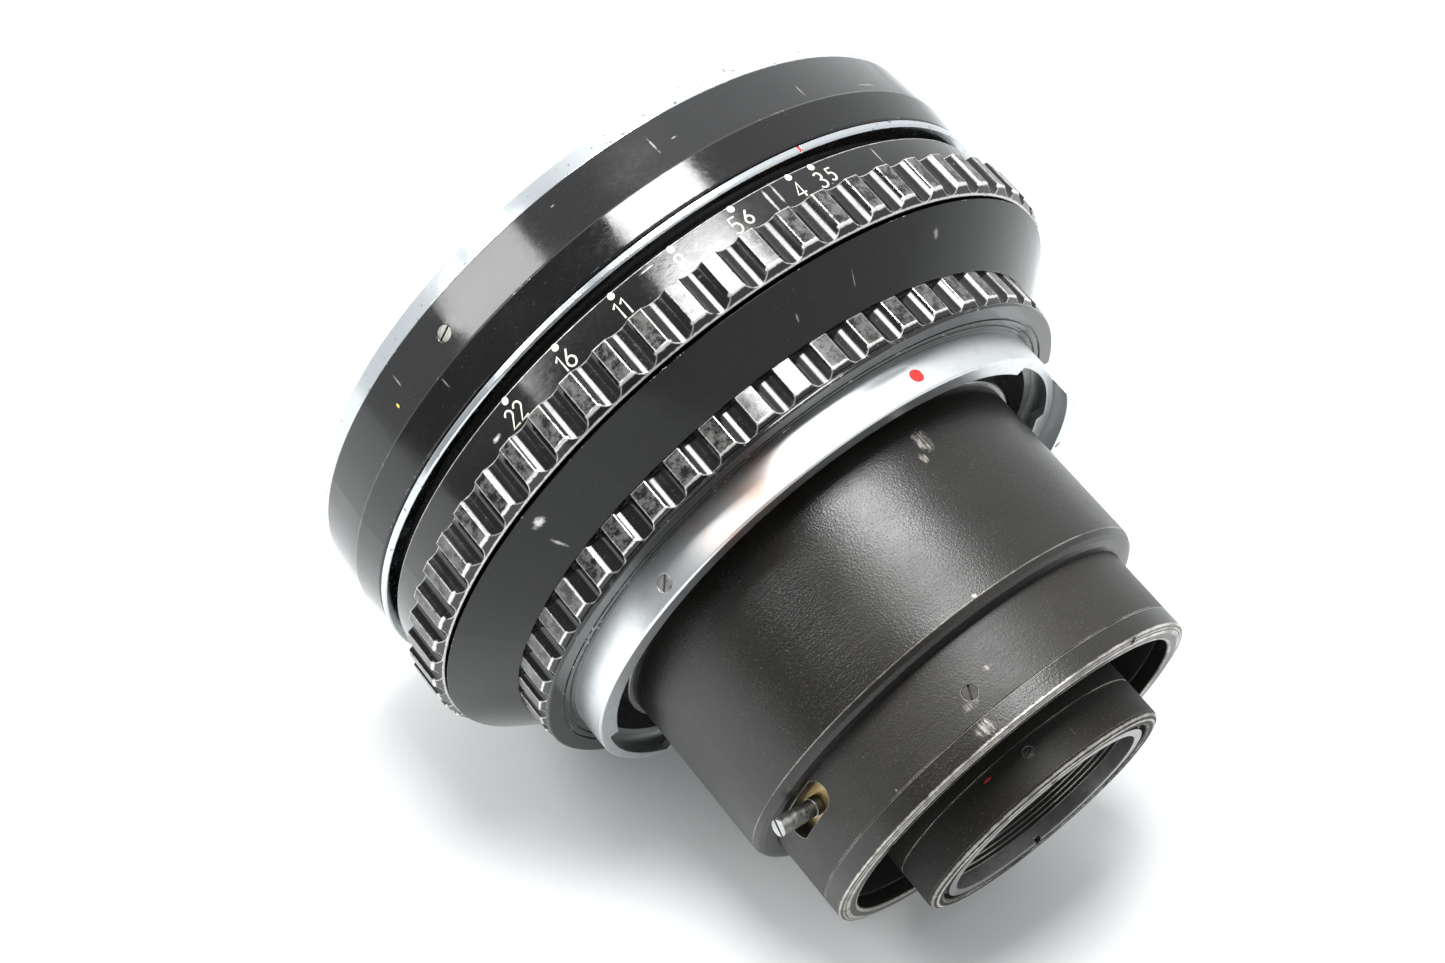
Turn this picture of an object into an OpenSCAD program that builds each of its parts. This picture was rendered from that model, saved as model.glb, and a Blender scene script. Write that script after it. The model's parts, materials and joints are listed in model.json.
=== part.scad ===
// Wide-angle camera lens for a medium-format single-lens reflex.
// Modelled along z with the front element up, then laid down: the optical axis
// is the frame's Y axis, the front looks along -Y, and the origin is the centre
// of the seat that meets the camera. Angles run from +X towards +Z.

/* [Front] */
// Radius of the chrome front rim at its widest
rim_r = 44; // [42:0.1:46]
// Distance from the seat to the front of the rim
front_z = 35.7; // [34:0.1:38]
// Radius of the filter thread
filter_r = 41; // [39:0.1:41.5]
// Length of the filter thread
filter_len = 3.2; // [2.6:0.1:3.3]
// Height of the joint between rim and black front barrel
rim_joint_z = 33.3; // [32.8:0.1:33.6]

/* [Aperture ring] */
// Radius of the band that carries the aperture numbers
number_r = 43.5; // [43:0.1:43.8]
// Radius over the knurled lands
knurl_r = 45; // [44.6:0.1:45.4]
// Number of flutes round the aperture ring
knurl_flutes = 59; // [50:1:64]
// Turn from one full stop to the next, degrees
stop_step = 10.25; // [9.5:0.05:10.5]
// Turn from f/3.5 to f/4, degrees
first_step = 4.2; // [3.5:0.1:4.4]

/* [Grip and seat] */
// Radius of the fixed grip ring
grip_r = 37.6; // [37:0.1:37.8]
// Number of flutes round the grip ring
grip_flutes = 48; // [40:1:54]
// Radius of the flat seat
seat_r = 37.3; // [36.8:0.1:37.4]
// Outer radius of the bayonet ring
bayonet_r = 33.55; // [33.45:0.05:33.8]
// Length of the bayonet ring behind the seat
bayonet_len = 4.7; // [4.4:0.1:5]

/* [Rear] */
// Radius of the wide rear tube
tube_r = 27.4; // [27:0.1:27.6]
// Distance from the seat to the end of the wide rear tube
tube_len = 25.9; // [25.6:0.1:26]
// Radius of the narrow rear barrel
barrel_r = 24.85; // [24.7:0.05:25]
// Distance from the seat to the end of the narrow rear barrel
barrel_len = 36.8; // [36.5:0.1:37]
// Radius of the rear lens cell
cell_r = 16.4; // [16:0.1:16.8]
// Distance from the seat to the end of the rear lens cell
cell_len = 42.2; // [41.8:0.1:42.6]

/* [Stop-down pin] */
// Angle of the pin at rest, degrees
pin_angle = 3.5; // [2:0.5:5]
// Radius of the pin
pin_r = 1; // [0.9:0.05:1.1]
// Distance of the pin's head from the axis
pin_reach = 29; // [28:0.1:30]
// Half the angle that the slot spans, degrees
slot_half = 10.7; // [10.7:0.1:11.5]

/* [Iris] */
// Radius of the circle of blade pivots
pivot_r = 20.5; // [20.4:0.1:20.6]
// Radius of the iris when it is fully open
open_r = 10.8; // [10:0.1:11]
// Turn of a blade from f/3.5 to f/22, degrees
blade_turn = 25.7; // [24:0.1:26]
// Thickness of a blade
blade_t = 0.15; // [0.1:0.01:0.16]

/* [Hidden] */
$fn = 96;

eps = 0.01;
fit = 0.03;                 // slip fit between pieces that are screwed or glued together
run = 0.06;                 // running fit between pieces that turn

// stations along the axis, positive towards the front
band_step_z = 27;           // edge between the two bands of the front barrel
band_end_z = 22.7;
index_front_z = 22.45;
index_back_z = 21.55;
ring_front_z = 20.6;        // front edge of the number band
knurl_front_z = 16.1;
knurl_back_z = 10.35;
knurl_chamfer_z = 11.35;
cone_front_z = 10;
cone_back_z = 5;
grip_back_z = 0.55;
recess_z = 2.3;             // floor of the deep groove inside the bayonet ring
collar_back_z = -2.7;
slot_z = -27.7;
slot_w = 3.4;
pin_foot_r = 0.7;           // the end of the pin that sits in its carrier
pin_collar_r = 1.1;
barrel_joint_z = -34;
cell_joint_z = -37.05;
end_seat_z = -34.8;
cell_spigot_z = -38.4;
baffle_back_z = -40.4;
baffle_front_z = -33.5;
recess_floor_z = -30.1;     // floor of the groove round the rear cell

// radii
band_r = 44.5;
band_end_r = 44.1;
index_r = 44.2;
ring_bore_r = 40;
spigot_r = 42.6;            // rim and front barrel meet on this radius
front_bore_r = 41.4;        // bore of the front barrel over the main barrel
waist_r = 36.9;             // main barrel inside the cone
core_r = 35.4;              // main barrel inside the grip ring
seat_bore_r = 33.06;
bayonet_bore_r = 33.03;
cone_front_r = 44;
cone_back_r = 37.95;
flute_depth = 0.85;
flute_cut_r = 1.9;
knurl_first = 3.9;          // angle of the first flute, degrees
grip_flute_depth = 0.75;
grip_cut_r = 1.8;
grip_first = 4.8;
lip_r = 31.2;               // inner lip of the bayonet ring
undercut_r = 32.4;
collar_r = 28.05;
tube_bore_r = 25.6;
barrel_bore_r = 23.2;
retainer_r = 22.45;
cell_bore_r = 14.6;
end_spigot_r = 24.2;        // rear barrel inside its end ring
cell_spigot_r = 15.4;       // sleeve inside the rear cell
baffle_r = 13.57;
baffle_mouth_r = 12.6;
baffle_throat_r = 10.8;

// iris
blades = 7;                                      // one node for each blade
ring_turn = first_step + 5 * stop_step;          // f/3.5 to f/22
blade_gap = 0.06;
blade_pitch = blade_t + blade_gap;
iris_front_z = -9;                               // rear face of the housing's plate
iris_stack = blades * blade_pitch + blade_gap;
iris_ring_z = iris_front_z - iris_stack - 0.1;
cam_z = iris_front_z + 2.1;
blade_outer_r = 19.8;
blade_span = 112;
stud_at = 3;                                     // distance of a blade's stud from its pivot
stud_circle_r = pivot_r + stud_at * cos(blade_turn / 2);
stud_swing = atan2(stud_at * sin(blade_turn / 2), stud_circle_r);
stud_r = 0.5;
pivot_pin_r = 0.5;
iris_ring_t = 0.8;

// key and lever of the aperture ring
key_angle = -140;
lever_angle = -90;
key_z = 14;
detent_angle = 215;
detent_z = 18.4;
key_r = 0.8;
lever_in = 23.4;            // the lever reaches from this radius
lever_out = 34.2;           // to this one
lever_w = 4;
lever_t = 1.2;
lever_z = 8.2;
cam_t = 0.8;

// fasteners
front_screw_angle = 34.4;
front_screw_z = 29.9;
bayonet_screw_angle = 28.5;
bayonet_screw_z = -2.8;
barrel_screw_angle = 58.9;
barrel_screw_z = -31.3;
cell_screw_angle = 63.7;
cover_screw_at = 24.3;      // screws of the iris cover, distance from the axis

// bayonet: the gaps in its inner lip, and the red dot
lip_gaps = [[125, 161], [300, 336]];
dot_r = 0.78;
dot_z = -2.6;

// locking lug: a block outside the bayonet ring
lug_angle = 165.6;
lug_in = 31.5;
lug_out = 34.8;
lug_half_w = 11.3;
lug_front_z = -2.5;
lug_back_z = -6.9;
lug_screw_at = 6.5;
lug_screw_z = -4.6;

// ---------------------------------------------------------------- helpers

module lens_frame() {
  rotate([90, 0, 0]) children();
}

module ring(r_out, r_in, z_top, z_bottom) {
  translate([0, 0, z_bottom]) difference() {
    cylinder(r = r_out, h = z_top - z_bottom);
    translate([0, 0, -1]) cylinder(r = r_in, h = z_top - z_bottom + 2);
  }
}

// a ring sector between two angles
module sector(r_out, r_in, z_top, z_bottom, from, to) {
  rotate([0, 0, from]) translate([0, 0, z_bottom])
    rotate_extrude(angle = to - from)
      translate([r_in, 0]) square([r_out - r_in, z_top - z_bottom]);
}

// a radial cylinder at an angle and height, from one radius to another
module radial(r, from, to, angle, z) {
  rotate([0, 0, angle]) translate([from, 0, z]) rotate([0, 90, 0])
    cylinder(r = r, h = to - from, $fn = 32);
}

// a slotted grub or cheese-head screw that points at the axis
module radial_screw(head_r, shank_r, r_face, head_h, length, angle, z, slot_turn) {
  difference() {
    union() {
      radial(head_r, r_face - head_h, r_face, angle, z);
      radial(shank_r, r_face - length, r_face - head_h + eps, angle, z);
    }
    rotate([0, 0, angle]) translate([r_face, 0, z]) rotate([slot_turn, 0, 0])
      cube([0.7, 2 * head_r + 1, 0.24 * head_r], center = true);
  }
}

// the hole that such a screw sits in
module radial_screw_hole(head_r, shank_r, r_face, head_h, length, angle, z) {
  radial(head_r + fit, r_face - head_h, r_face + 2, angle, z);
  radial(shank_r + fit, r_face - length - 0.1, r_face, angle, z);
}

// round scoops along the axis; they run out through the chamfer at the back
module flutes(count, first, r, depth, cut_r, z_front, z_end) {
  for (i = [0 : count - 1])
    rotate([0, 0, first + i * 360 / count]) translate([r - depth + cut_r, 0, z_end])
      cylinder(r = cut_r, h = z_front - z_end, $fn = 48);
}

// a glass that bulges on both faces
module biconvex(r, front_z, back_z, front_r, back_r) {
  intersection() {
    translate([0, 0, back_z]) cylinder(r = r, h = front_z - back_z);
    translate([0, 0, front_z - front_r]) sphere(r = front_r, $fn = 128);
    translate([0, 0, back_z + back_r]) sphere(r = back_r, $fn = 128);
  }
}

// a bowl-shaped glass: bulging front face, hollow rear face
module meniscus(r, rim_z, front_z, front_r, hollow_z, hollow_r) {
  difference() {
    intersection() {
      translate([0, 0, rim_z]) cylinder(r = r, h = front_z - rim_z + 1);
      translate([0, 0, front_z - front_r]) sphere(r = front_r, $fn = 128);
    }
    translate([0, 0, hollow_z - hollow_r]) sphere(r = hollow_r, $fn = 128);
  }
}

// wire coil along z
module coil(coil_r, wire_r, turns, length) {
  steps = 16;
  sides = 8;
  count = turns * steps;
  points = [
    for (i = [0 : count])
      for (j = [0 : sides - 1])
        let (a = i * 360 / steps, b = j * 360 / sides, rr = coil_r + wire_r * cos(b))
          [rr * cos(a), rr * sin(a), length * i / count + wire_r * sin(b)]
  ];
  skin = [
    for (i = [0 : count - 1])
      for (j = [0 : sides - 1])
        let (k = (j + 1) % sides)
          each [
            [i * sides + j, i * sides + k, (i + 1) * sides + k],
            [i * sides + j, (i + 1) * sides + k, (i + 1) * sides + j]
          ]
  ];
  start = [for (j = [0 : sides - 1]) sides - 1 - j];
  finish = [for (j = [0 : sides - 1]) count * sides + j];
  polyhedron(points, concat(skin, [start, finish]), convexity = 8);
}

// ---------------------------------------------------------------- front

module front_rim() {
  color("gainsboro") lens_frame() rotate_extrude() polygon([
    [filter_r, front_z], [rim_r - 0.7, front_z], [rim_r - 0.5, front_z - 0.2],
    [rim_r, rim_joint_z], [spigot_r, rim_joint_z], [spigot_r, 30.4], [filter_r + 0.5, 30.4],
    [filter_r + 0.5, front_z - filter_len], [filter_r, front_z - filter_len]
  ]);
}

module name_ring() {
  color("black") lens_frame() rotate_extrude() polygon([
    [filter_r - fit, 30.4], [filter_r - fit, 29.15], [38.1, 29.15], [33.6, 27.3], [33.6, 28.1],
    [34.4, 28.6], [39.6, 30], [39.9, 30.4]
  ]);
}

module front_barrel() {
  color("black") lens_frame() difference() {
    rotate_extrude() polygon([
      [spigot_r + fit, rim_joint_z], [rim_r, rim_joint_z], [band_r - 0.15, band_step_z + 0.1],
      [band_r, band_step_z - 0.1], [band_end_r, band_end_z + 0.2], [band_end_r - 0.2, band_end_z],
      [43.2, band_end_z], [43.2, index_front_z], [front_bore_r, index_front_z],
      [front_bore_r, 29.2], [spigot_r + fit, 29.2]
    ]);
    for (i = [0 : 2])
      radial_screw_hole(0.9, 0.6, 44.15, 0.9, 1.35, front_screw_angle + 120 * i, front_screw_z);
  }
}

module front_barrel_screws() {
  color("silver") lens_frame() for (i = [0 : 2])
    radial_screw(0.9, 0.6, 44.1, 0.8, 1.25, front_screw_angle + 120 * i, front_screw_z, 15);
}

module index_ring() {
  color("silver") lens_frame() difference() {
    rotate_extrude() polygon([
      [front_bore_r, index_front_z], [index_r - 0.1, index_front_z], [index_r, index_front_z - 0.1],
      [index_r, index_back_z + 0.2], [index_r - 0.2, index_back_z], [front_bore_r, index_back_z]
    ]);
    rotate([0, 0, 90]) translate([index_r - 0.2, -0.2, index_back_z - 1]) cube([1, 0.4, 3]);
  }
}

module index_mark() {
  color("red") lens_frame() rotate([0, 0, 90])
    translate([index_r - 0.2, -0.2 + fit, index_back_z + 0.2])
      cube([0.16, 0.4 - 2 * fit, index_front_z - index_back_z - 0.3]);
}

// ---------------------------------------------------------------- main structure

module main_barrel() {
  color("dimgray") lens_frame() difference() {
    rotate_extrude() polygon([
      [front_bore_r - fit, 29.1], [front_bore_r - fit, 20.75],
      [ring_bore_r - run, 20.75], [ring_bore_r - run, cone_front_z],
      [waist_r, cone_front_z], [waist_r, cone_back_z], [core_r, cone_back_z], [core_r, grip_back_z],
      [seat_bore_r, grip_back_z], [seat_bore_r, recess_z], [collar_r + fit, recess_z],
      [collar_r + fit, 4.6], [34.6, 6.6], [35.6, 7.6], [35.6, 10.4], [38.2, 12], [38.2, 29.1]
    ]);
    sector(ring_bore_r + 1, 37, key_z + 1, key_z - 1, key_angle - 2, key_angle + ring_turn + 2);
    radial(0.9, 37, 41, detent_angle, detent_z);
  }
}

module cone_skirt() {
  color("black") lens_frame() rotate_extrude() polygon([
    [waist_r + fit, cone_front_z], [cone_front_r - 0.3, cone_front_z], [cone_front_r, cone_front_z - 0.2],
    [cone_back_r, cone_back_z + 0.15], [cone_back_r - 0.2, cone_back_z],
    [waist_r + fit, cone_back_z]
  ]);
}

module grip_ring() {
  color("black") lens_frame() difference() {
    rotate_extrude() polygon([
      [core_r + fit, cone_back_z], [grip_r, cone_back_z], [grip_r, 1.25], [grip_r - 0.7, grip_back_z],
      [core_r + fit, grip_back_z]
    ]);
    flutes(grip_flutes, grip_first, grip_r, grip_flute_depth, grip_cut_r, cone_back_z + 1, 0);
  }
}

module seat_flange() {
  color("black") lens_frame() rotate_extrude() polygon([
    [seat_bore_r, grip_back_z], [seat_r - 0.2, grip_back_z], [seat_r, grip_back_z - 0.2],
    [seat_r, 0.15], [seat_r - 0.15, 0], [35.3, 0], [35.3, 0.2], [35, 0.2], [35, 0], [34.5, 0],
    [34.4, 0.2], [34.1, 0.2], [34, 0], [seat_bore_r, 0]
  ]);
}

// ---------------------------------------------------------------- bayonet

module bayonet_ring() {
  color("silver") lens_frame() difference() {
    rotate_extrude() polygon([
      [undercut_r, recess_z], [bayonet_bore_r, recess_z], [bayonet_bore_r, 0], [bayonet_r, 0],
      [bayonet_r, 0.2 - bayonet_len], [bayonet_r - 0.2, -bayonet_len], [lip_r, -bayonet_len],
      [lip_r, 1 - bayonet_len], [undercut_r, 1 - bayonet_len]
    ]);
    for (gap = lip_gaps)
      sector(undercut_r - 0.05, lip_r - 1, 1.5 - bayonet_len, -bayonet_len - 1, gap[0], gap[1]);
    for (i = [0 : 2])
      radial(0.95 + fit, bayonet_r - 0.7, bayonet_r + 2, bayonet_screw_angle + 120 * i,
        bayonet_screw_z);
    radial(dot_r + fit, bayonet_r - 0.3, bayonet_r + 2, 90, dot_z);
  }
}

module bayonet_screws() {
  color("lightgray") lens_frame() for (i = [0 : 2])
    radial_screw(0.95, 0.5, bayonet_r - 0.02, 0.6, 0.65, bayonet_screw_angle + 120 * i,
      bayonet_screw_z, 40);
}

module bayonet_dot() {
  color("red") lens_frame() radial(dot_r, bayonet_r - 0.28, bayonet_r - 0.02, 90, dot_z);
}

module locking_lug() {
  color("silver") lens_frame() difference() {
    rotate([0, 0, lug_angle]) translate([lug_in, -lug_half_w, lug_back_z])
      cube([lug_out - lug_in, 2 * lug_half_w, lug_front_z - lug_back_z]);
    translate([0, 0, lug_back_z - 1]) cylinder(r = bayonet_r + fit, h = 10);
    for (side = [-1, 1])
      rotate([0, 0, lug_angle]) translate([lug_out, side * lug_screw_at, lug_screw_z])
        rotate([0, 90, 0]) {
          translate([0, 0, -0.9]) cylinder(r = 0.75 + fit, h = 2, $fn = 32);
          translate([0, 0, -1.3]) cylinder(r = 0.4 + fit, h = 1, $fn = 32);
        }
    rotate([0, 0, lug_angle]) translate([34.15, 3.8, lug_back_z - 0.1])
      cylinder(r = 0.45, h = 1.1, $fn = 32);
  }
}

module lug_screws() {
  color("gray") lens_frame() for (side = [-1, 1])
    rotate([0, 0, lug_angle]) translate([lug_out, side * lug_screw_at, lug_screw_z]) rotate([0, 90, 0])
      difference() {
        union() {
          translate([0, 0, -0.9]) cylinder(r = 0.75, h = 0.8, $fn = 32);
          translate([0, 0, -1.2]) cylinder(r = 0.4, h = 0.5, $fn = 32);
        }
        translate([0, 0, -0.1]) cube([0.25, 3, 0.6], center = true);
      }
}

// sleeve seen through the gaps between the bayonet's lips
module bayonet_liner() {
  color("gray") lens_frame() ring(undercut_r - fit, lip_r + 0.2, recess_z, -1.8);
}

module tube_collar() {
  color("dimgray") lens_frame() rotate_extrude() polygon([
    [tube_r + fit, 4.6], [collar_r, 4.6], [collar_r, collar_back_z + 0.15],
    [collar_r - 0.15, collar_back_z], [tube_r + fit, collar_back_z]
  ]);
}

// ---------------------------------------------------------------- aperture ring

module aperture_ring() {
  color("black") lens_frame() difference() {
    rotate_extrude() polygon([
      [ring_bore_r, ring_front_z], [number_r - 0.35, ring_front_z], [number_r, ring_front_z - 0.45],
      [number_r, knurl_front_z], [knurl_r - 0.1, knurl_front_z], [knurl_r, knurl_front_z - 0.1],
      [knurl_r, knurl_chamfer_z], [knurl_r - 1, knurl_back_z], [ring_bore_r, knurl_back_z]
    ]);
    flutes(knurl_flutes, knurl_first, knurl_r, flute_depth, flute_cut_r, knurl_front_z + 1, 10);
    ring(40.6, 39, 19.2, 17.6);
    radial(key_r + fit, 39, 42, key_angle, key_z);
  }
}

module aperture_key() {
  color("silver") lens_frame() radial(key_r, 37.2, 41.9, key_angle, key_z);
}

module transfer_ring() {
  color("tan") lens_frame() difference() {
    ring(38.2 - run, 36.4, 16, 12.4);
    radial(key_r + fit, 37.1, 40, key_angle, key_z);
  }
}

// carries the turn of the aperture ring inwards and back to the iris
module transfer_lever() {
  color("tan") lens_frame() rotate([0, 0, lever_angle]) {
    translate([lever_out, -lever_w / 2, 11.4]) cube([2.8, lever_w, 1]);
    translate([lever_out, -lever_w / 2, lever_z]) cube([lever_t, lever_w, 3.5]);
    translate([lever_in, -lever_w / 2, lever_z]) cube([lever_out + lever_t - lever_in, lever_w, lever_t]);
    translate([lever_in, -lever_w / 2, cam_z - cam_t])
      cube([lever_t, lever_w, lever_z + 1 + cam_t - cam_z]);
  }
}

// the cam that the aperture ring turns, in front of the iris
module cam_ring() {
  color("tan") lens_frame() difference() {
    ring(24.9, 23.1, cam_z, cam_z - cam_t);
    rotate([0, 0, lever_angle]) translate([lever_in - fit, -lever_w / 2 - fit, cam_z - 2])
      cube([4, lever_w + 2 * fit, 4]);
  }
}

// turns all the blades together by the studs on their ears
module iris_ring() {
  color("tan") lens_frame() difference() {
    ring(24.8, 22.2, iris_ring_z, iris_ring_z - iris_ring_t);
    for (i = [0 : blades - 1])
      rotate([0, 0, i * 360 / blades - stud_swing])
        translate([stud_circle_r, 0, iris_ring_z - 2])
          cylinder(r = stud_r + 3 * run, h = 4, $fn = 24);
  }
}

module detent_ball() {
  color("silver") lens_frame() rotate([0, 0, detent_angle]) translate([39.3, 0, detent_z])
    sphere(r = 0.85, $fn = 32);
}

module detent_spring() {
  color("silver") lens_frame() rotate([0, 0, detent_angle]) translate([37.4, 0, detent_z])
    rotate([0, 90, 0]) coil(0.55, 0.1, 4, 0.9);
}

// ---------------------------------------------------------------- front optics

module front_cell() {
  color("black") lens_frame() {
    rotate_extrude() polygon([
      [34.03, 25.2], [34.03, 17], [31.5, 17], [31.5, 16.2], [27.2, 16.2], [27.2, 10.2], [21, 10.2],
      [21, 7.6], [17.5, 7.6], [17.5, -5.8], [21.6, -5.8], [22.8, -4.6], [22.8, 9.8],
      [30.5, 9.8], [30.5, 14.6], [core_r, 17], [core_r, 25.2]
    ]);
    ring(38.17, core_r - 0.1, 25.2, 23.2);
  }
}

module front_cell_spacer() {
  color("dimgray") lens_frame() ring(27.17, 24.6, 16.2, 15.35);
}

module front_glass() {
  color("lightblue") lens_frame()
    meniscus(r = 34, rim_z = 17.2, front_z = 31.9, front_r = 90, hollow_z = 28.4, hollow_r = 42);
}

module second_glass() {
  color("lightblue") lens_frame()
    meniscus(r = 27.1, rim_z = 10.3, front_z = 21.8, front_r = 49.4, hollow_z = 19, hollow_r = 26);
}

module third_glass() {
  color("lightblue") lens_frame()
    biconvex(r = 17.4, front_z = 6.3, back_z = -4.2, front_r = 45, back_r = 60);
}

module third_glass_retainer() {
  color("black") lens_frame() ring(17.47, 15.9, -4.3, -5.8);
}

// ---------------------------------------------------------------- rear barrels

module rear_tube() {
  color("#202020") lens_frame() rotate_extrude() polygon([
    [tube_bore_r, 4.6], [tube_r, 4.6], [tube_r, 1.4 - tube_len], [tube_r - 0.3, 0.75 - tube_len],
    [tube_r - 0.8, 0.35 - tube_len], [tube_r - 1.5, 0.1 - tube_len],
    [barrel_r + 0.3, -tube_len], [barrel_r + fit, -tube_len], [barrel_r + fit, -20],
    [tube_bore_r, -20]
  ]);
}

module pin_slot() {
  half = slot_w / 2;
  reach = slot_half - asin(slot_w / 2 / barrel_r);
  sector(barrel_r + 2, 20, slot_z + half - 0.03, slot_z - half + 0.03, pin_angle - reach,
    pin_angle + reach);
  for (side = [-1, 1])
    radial(half, 20, barrel_r + 2, pin_angle + side * reach, slot_z);
}

module rear_barrel() {
  color("#282828") lens_frame() difference() {
    rotate_extrude() polygon([
      [barrel_bore_r, -20], [barrel_r, -20], [barrel_r, barrel_joint_z + 0.05],
      [end_spigot_r, barrel_joint_z + 0.05], [end_spigot_r, end_seat_z],
      [barrel_bore_r, end_seat_z]
    ]);
    pin_slot();
    for (i = [0 : 2])
      radial_screw_hole(0.85, 0.5, barrel_r, 0.8, 1.4, barrel_screw_angle + 120 * i,
        barrel_screw_z);
  }
}

module rear_barrel_screws() {
  color("dimgray") lens_frame() for (i = [0 : 2])
    radial_screw(0.85, 0.5, barrel_r - 0.12, 0.6, 1.2, barrel_screw_angle + 120 * i,
      barrel_screw_z, 65);
}

module rear_end_ring() {
  color("#202020") lens_frame() difference() {
    rotate_extrude() polygon([
      [end_spigot_r + fit, barrel_joint_z - 0.05], [barrel_r, barrel_joint_z - 0.05],
      [barrel_r, 0.3 - barrel_len], [23.85, -barrel_len],
      [23.85, end_seat_z - 0.05], [end_spigot_r + fit, end_seat_z - 0.05]
    ]);
    rotate([0, 0, 104]) translate([23, -0.4, -barrel_len - 0.1]) cube([3, 0.8, 0.5]);
  }
}

module rear_retaining_ring() {
  color("#202020") lens_frame() difference() {
    rotate_extrude() polygon([
      [retainer_r, end_seat_z - 0.05], [23.8, end_seat_z - 0.05], [23.8, -barrel_len],
      [retainer_r + 0.2, -barrel_len],
      [retainer_r, 0.2 - barrel_len]
    ]);
    for (side = [0, 180])
      rotate([0, 0, 14 + side]) translate([20, -0.6, -barrel_len - 0.1]) cube([2.95, 1.2, 0.7]);
  }
}

// the wall that carries the rear cell
module rear_bulkhead() {
  color("black") lens_frame() rotate_extrude() polygon([
    [barrel_bore_r - fit, end_seat_z], [retainer_r, end_seat_z], [retainer_r, recess_floor_z],
    [cell_r, recess_floor_z], [cell_r, recess_floor_z + 0.6],
    [barrel_bore_r - fit, recess_floor_z + 0.6]
  ]);
}

module rear_cell_sleeve() {
  color("black") lens_frame() rotate_extrude() polygon([
    [12.6, -14.5], [17.2, -14.5], [17.2, recess_floor_z + 0.6], [cell_r - fit, recess_floor_z + 0.6],
    [cell_r - fit, cell_joint_z + 0.05], [cell_spigot_r, cell_joint_z + 0.05],
    [cell_spigot_r, cell_spigot_z], [13.6, cell_spigot_z], [13.6, -21.2], [12.6, -21.2]
  ]);
}

module rear_cell() {
  color("black") lens_frame() difference() {
    rotate_extrude() polygon([
      [cell_spigot_r + fit, cell_joint_z - 0.05], [cell_r, cell_joint_z - 0.05],
      [cell_r, 0.7 - cell_len],
      [cell_r - 0.25, 0.25 - cell_len], [cell_r - 0.75, -cell_len], [cell_bore_r + 0.3, -cell_len],
      [cell_bore_r, 0.2 - cell_len], [cell_bore_r, cell_spigot_z - 0.05],
      [cell_spigot_r + fit, cell_spigot_z - 0.05]
    ]);
    radial_screw_hole(0.6, 0.4, cell_r, 0.6, 0.8, cell_screw_angle, cell_spigot_z);
  }
}

module rear_cell_screw() {
  color("dimgray") lens_frame()
    radial_screw(0.6, 0.4, cell_r - 0.08, 0.45, 0.7, cell_screw_angle, cell_spigot_z, 20);
}

module rear_cell_retainer() {
  color("lightgray") lens_frame() difference() {
    rotate_extrude() polygon([
      [12.8, baffle_back_z], [cell_bore_r - fit, baffle_back_z], [cell_bore_r - fit, 1 - cell_len],
      [13.9, 0.9 - cell_len], [13.9, 0.15 - cell_len], [12.8, 0.15 - cell_len]
    ]);
    for (side = [0, 180])
      rotate([0, 0, 66 + side]) translate([12.5, -0.4, -cell_len]) cube([1.5, 0.8, 0.7]);
  }
}

// stepped rings that stop stray light, narrowing towards the rear glass
module rear_baffle() {
  steps = 9;
  rise = 0.5;
  inset = 0.2;
  color("black") lens_frame() difference() {
    translate([0, 0, baffle_back_z]) cylinder(r = baffle_r, h = baffle_front_z - baffle_back_z);
    for (i = [0 : steps - 1])
      translate([0, 0, baffle_back_z + (i - 1) * rise])
        cylinder(r = baffle_mouth_r - i * inset, h = rise * 2);
    translate([0, 0, baffle_back_z + steps * rise + 0.5]) cylinder(r = baffle_mouth_r, h = 4);
    cylinder(r = baffle_throat_r, h = 100, center = true);
  }
}

module rear_glass() {
  color("lightblue") lens_frame()
    biconvex(r = 13.5, front_z = -29.6, back_z = -35.6, front_r = 60, back_r = 38);
}

module inner_doublet() {
  color("lightblue") lens_frame()
    biconvex(r = 12.5, front_z = -14.6, back_z = -20.9, front_r = 34, back_r = 50);
}

module doublet_retainer() {
  color("black") lens_frame() ring(baffle_r, 11.8, -21.25, -23);
}

// ---------------------------------------------------------------- iris

module iris_housing() {
  color("dimgray") lens_frame() difference() {
    union() {
      ring(tube_bore_r - fit, open_r + 0.1, iris_front_z + 1, iris_front_z);
      ring(tube_bore_r - fit, 25, iris_front_z + eps, iris_ring_z - 1.1);
    }
    for (i = [0 : blades - 1])
      rotate([0, 0, i * 360 / blades]) translate([pivot_r, 0, iris_front_z - 1])
        cylinder(r = pivot_pin_r + 0.05, h = 4, $fn = 24);
  }
}

module iris_cover() {
  color("black") lens_frame() difference() {
    ring(tube_bore_r - fit, open_r + 0.3, iris_ring_z - 1.1, iris_ring_z - 1.7);
    for (i = [0 : 2])
      rotate([0, 0, 60 + 120 * i]) translate([cover_screw_at, 0, iris_ring_z - 3])
        cylinder(r = 0.3, h = 3, $fn = 24);
  }
}

module iris_cover_screws() {
  color("silver") lens_frame() for (i = [0 : 2])
    rotate([0, 0, 60 + 120 * i]) translate([cover_screw_at, 0, iris_ring_z - 2.2]) difference() {
      cylinder(r = 0.7, h = 0.5, $fn = 24);
      cube([0.2, 3, 0.4], center = true);
    }
}

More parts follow.
